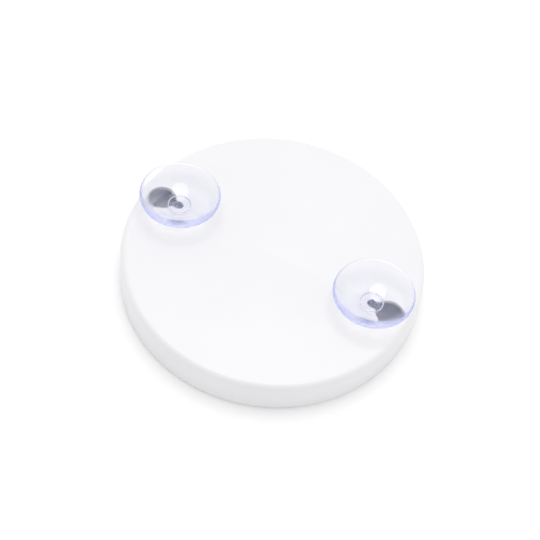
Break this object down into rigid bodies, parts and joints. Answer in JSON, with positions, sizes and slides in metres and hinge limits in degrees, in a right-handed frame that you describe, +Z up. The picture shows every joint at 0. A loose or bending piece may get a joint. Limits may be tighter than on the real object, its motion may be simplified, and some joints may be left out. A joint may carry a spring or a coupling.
{
  "type": "lazy susan turntable",
  "caption": "Low round kitchen turntable: a white skirted platter turns on a ball race over a footed base, with clear suction cups in keyholes to grip a dish.",
  "frame": {"origin": "on the turning axis, in the plane the feet stand on", "axes": "+Z up along the turning axis; +X towards the right-hand suction cup, both cups on the X axis"},
  "size_m": [0.15, 0.15, 0.0306],
  "materials": {
    "white_moulding": "moulded ABS with a soft shine",
    "clear_cup": "clear soft PVC with a faint blue-violet tint",
    "zinc_steel": "zinc-plated steel",
    "ball_steel": "polished bearing steel",
    "acetal": "natural acetal, slightly waxy",
    "grey_rubber": "matt dark grey rubber"
  },
  "bodies": {
    "base": {"base_plate": "white_moulding", "lower_race": "zinc_steel", "pivot_bush": "acetal", "pivot_cap": "white_moulding", "lower_race_screw_1": "zinc_steel", "lower_race_screw_2": "zinc_steel", "lower_race_screw_3": "zinc_steel", "lower_race_screw_4": "zinc_steel", "foot_1": "grey_rubber", "foot_2": "grey_rubber", "foot_3": "grey_rubber", "foot_4": "grey_rubber", "foot_5": "grey_rubber", "foot_6": "grey_rubber"},
    "cage": {"ball_cage": "acetal", "ball_01": "ball_steel", "ball_02": "ball_steel", "ball_03": "ball_steel", "ball_04": "ball_steel", "ball_05": "ball_steel", "ball_06": "ball_steel", "ball_07": "ball_steel", "ball_08": "ball_steel", "ball_09": "ball_steel", "ball_10": "ball_steel", "ball_11": "ball_steel", "ball_12": "ball_steel"},
    "platter": {"platter_shell": "white_moulding", "upper_race": "zinc_steel", "pivot_screw": "zinc_steel", "pivot_washer": "zinc_steel", "upper_race_screw_1": "zinc_steel", "upper_race_screw_2": "zinc_steel", "upper_race_screw_3": "zinc_steel", "upper_race_screw_4": "zinc_steel"},
    "cup_left": {"suction_cup_left": "clear_cup"},
    "cup_right": {"suction_cup_right": "clear_cup"}
  },
  "joints": [
    {"name": "platter_spin", "type": "hinge", "parent": "base", "child": "platter", "pos_m": [0, 0, 0.0099], "axis": [0, 0, 1], "continuous": true},
    {"name": "cage_spin", "type": "hinge", "parent": "base", "child": "cage", "pos_m": [0, 0, 0.0099], "axis": [0, 0, 1], "continuous": true},
    {"name": "cup_left_slide", "type": "slide", "parent": "platter", "child": "cup_left", "axis": [-1, 0, 0], "range_m": [0, 0.0097]},
    {"name": "cup_right_slide", "type": "slide", "parent": "platter", "child": "cup_right", "axis": [1, 0, 0], "range_m": [0, 0.0097]}
  ],
  "couplings": [
    {"joint": "cage_spin", "follows": "platter_spin", "ratio": 0.5}
  ]
}
